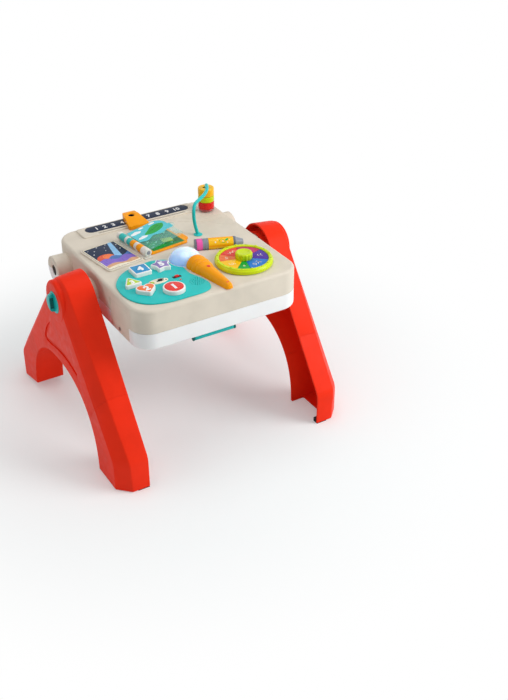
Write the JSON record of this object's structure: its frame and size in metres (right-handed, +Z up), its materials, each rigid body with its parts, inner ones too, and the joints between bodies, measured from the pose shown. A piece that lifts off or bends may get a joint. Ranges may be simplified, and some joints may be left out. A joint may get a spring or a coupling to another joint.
{
  "type": "musical activity table",
  "caption": "Free-standing toddler play table: an electronic activity deck with buttons, book, wheel and bead run, hung between arched legs so that it flips to a drawing side.",
  "frame": {"origin": "on the floor, below the middle of the object's bounding box", "axes": "+X to the table's right, +Y to its back, +Z up"},
  "size_m": [0.5296, 0.524, 0.4168],
  "materials": {
    "deck": "fine matte",
    "drawing_white": "smooth",
    "leg_red": "semi-gloss",
    "pad_dark": "matte",
    "knob_teal": "semi-gloss",
    "steel": "drawn wire",
    "strip_navy": "printed film",
    "picture": "printed film",
    "lime": "semi-gloss",
    "orange": "semi-gloss",
    "red": "semi-gloss",
    "white": "semi-gloss",
    "clear_teal": "translucent",
    "clear_blue": "frosted translucent",
    "plate_teal": "semi-gloss",
    "blue": "semi-gloss",
    "purple": "semi-gloss",
    "black": "matte",
    "board_green": "coated board",
    "pink": "matte",
    "yellow": "printed",
    "grey": "matte",
    "cell": "wrapped cell"
  },
  "bodies": {
    "left_leg": {"left_leg_frame": "leg_red", "left_leg_shin": "leg_red", "left_foot_pad_front": "pad_dark", "left_foot_pad_rear": "pad_dark", "left_lock_spring": "steel"},
    "table_unit": {"top_shell": "deck", "bottom_shell": "drawing_white", "number_strip": "strip_navy", "left_card": "picture", "book_spine": "white", "page_pin": "steel", "light_collar": "white", "light_cone": "orange", "lamp_board": "board_green", "control_plate": "plate_teal", "speaker": "black", "circuit_board": "board_green", "roller_axle": "grey", "roller_tip": "grey", "wheel_axle": "white", "bead_rod": "plate_teal", "battery_box": "black", "battery_1": "cell", "battery_2": "cell", "battery_3": "cell", "battery_door": "deck", "battery_door_screw": "steel", "drawing_board": "drawing_white", "clip_pin": "steel", "clip_spring": "steel", "tray": "knob_teal"},
    "right_leg": {"right_leg_frame": "leg_red", "right_leg_shin": "leg_red", "right_foot_pad_front": "pad_dark", "right_foot_pad_rear": "pad_dark", "right_lock_spring": "steel"},
    "left_lock": {"left_lock_knob": "knob_teal"},
    "right_lock": {"right_lock_knob": "knob_teal"},
    "slider": {"number_slider": "orange", "slider_retainer": "white"},
    "lower_page": {"frame_page": "orange", "page_picture": "picture"},
    "upper_page": {"flip_page": "clear_teal"},
    "dome_button": {"light_dome": "clear_blue"},
    "roller": {"roller_eraser": "pink", "roller_barrel": "yellow"},
    "wheel": {"wheel_ring": "lime", "wheel_disc": "picture"},
    "wheel_grip": {"wheel_knob": "lime"},
    "round_button": {"button_1": "red"},
    "heart_button": {"button_2": "orange"},
    "triangle_button": {"button_3": "lime"},
    "square_button": {"button_4": "blue"},
    "star_button": {"button_5": "purple"},
    "power_slide": {"power_switch": "white"},
    "volume_slide": {"volume_switch": "black"},
    "bead_bottom": {"bead_red": "red"},
    "bead_middle": {"bead_lime": "lime"},
    "bead_top": {"bead_orange": "orange"},
    "clip": {"paper_clip": "knob_teal"}
  },
  "joints": [
    {"name": "table_tilt", "type": "hinge", "parent": "left_leg", "child": "table_unit", "pos_m": [0, -0.014, 0.303], "axis": [1, 0, 0], "range_deg": [0, 180]},
    {"name": "right_leg_hub", "type": "hinge", "parent": "table_unit", "child": "right_leg", "pos_m": [0, -0.014, 0.303], "axis": [1, 0, 0], "range_deg": [-180, 0]},
    {"name": "left_lock_pull", "type": "slide", "parent": "left_leg", "child": "left_lock", "axis": [-1, 0, 0], "range_m": [0, 0.009], "stiffness_N_per_m": 800, "springref_m": -0.004},
    {"name": "right_lock_pull", "type": "slide", "parent": "right_leg", "child": "right_lock", "axis": [1, 0, 0], "range_m": [0, 0.009], "stiffness_N_per_m": 800, "springref_m": -0.004},
    {"name": "number_slide", "type": "slide", "parent": "table_unit", "child": "slider", "axis": [1, 0, 0], "range_m": [-0.076, 0.106]},
    {"name": "lower_page_turn", "type": "hinge", "parent": "table_unit", "child": "lower_page", "pos_m": [-0.06492, 0.01199, 0.363], "axis": [0.1392, -0.9903, 0], "range_deg": [0, 75]},
    {"name": "upper_page_turn", "type": "hinge", "parent": "lower_page", "child": "upper_page", "pos_m": [-0.06492, 0.01199, 0.363], "axis": [0.1392, -0.9903, 0], "range_deg": [-6, 92]},
    {"name": "dome_press", "type": "slide", "parent": "table_unit", "child": "dome_button", "axis": [0, 0, -1], "range_m": [0, 0.003], "stiffness_N_per_m": 500, "springref_m": -0.002},
    {"name": "roller_spin", "type": "hinge", "parent": "table_unit", "child": "roller", "pos_m": [0.08295, -0.05695, 0.359], "axis": [0.9336, -0.3584, 0], "continuous": true},
    {"name": "wheel_spin", "type": "hinge", "parent": "table_unit", "child": "wheel", "pos_m": [0.09108, -0.13995, 0.36], "axis": [0, 0, 1], "continuous": true},
    {"name": "wheel_grip_spin", "type": "hinge", "parent": "table_unit", "child": "wheel_grip", "pos_m": [0.09108, -0.13995, 0.36], "axis": [0, 0, 1], "continuous": true},
    {"name": "round_press", "type": "slide", "parent": "table_unit", "child": "round_button", "axis": [0, 0, -1], "range_m": [0, 0.003], "stiffness_N_per_m": 500, "springref_m": -0.002},
    {"name": "heart_press", "type": "slide", "parent": "table_unit", "child": "heart_button", "axis": [0, 0, -1], "range_m": [0, 0.003], "stiffness_N_per_m": 500, "springref_m": -0.002},
    {"name": "triangle_press", "type": "slide", "parent": "table_unit", "child": "triangle_button", "axis": [0, 0, -1], "range_m": [0, 0.003], "stiffness_N_per_m": 500, "springref_m": -0.002},
    {"name": "square_press", "type": "slide", "parent": "table_unit", "child": "square_button", "axis": [0, 0, -1], "range_m": [0, 0.003], "stiffness_N_per_m": 500, "springref_m": -0.002},
    {"name": "star_press", "type": "slide", "parent": "table_unit", "child": "star_button", "axis": [0, 0, -1], "range_m": [0, 0.003], "stiffness_N_per_m": 500, "springref_m": -0.002},
    {"name": "power_slide_move", "type": "slide", "parent": "table_unit", "child": "power_slide", "axis": [1, 0, 0], "range_m": [-0.004, 0.004]},
    {"name": "volume_slide_move", "type": "slide", "parent": "table_unit", "child": "volume_slide", "axis": [1, 0, 0], "range_m": [-0.004, 0.004]},
    {"name": "bead_lift", "type": "slide", "parent": "table_unit", "child": "bead_bottom", "axis": [0, 0, 1], "range_m": [0, 0.003]},
    {"name": "bead_middle_spin", "type": "hinge", "parent": "bead_bottom", "child": "bead_middle", "pos_m": [0.14684, 0.10845, 0.38], "axis": [0, 0, 1], "continuous": true},
    {"name": "bead_top_spin", "type": "hinge", "parent": "bead_bottom", "child": "bead_top", "pos_m": [0.14684, 0.10845, 0.395], "axis": [0, 0, 1], "continuous": true},
    {"name": "clip_open", "type": "hinge", "parent": "table_unit", "child": "clip", "pos_m": [-0.011, -0.197, 0.2585], "axis": [-1, 0, 0], "range_deg": [0, 25], "stiffness_Nm_per_rad": 0.5, "springref_deg": -5.73}
  ],
  "couplings": [
    {"joint": "right_leg_hub", "follows": "table_tilt", "ratio": -1}
  ]
}
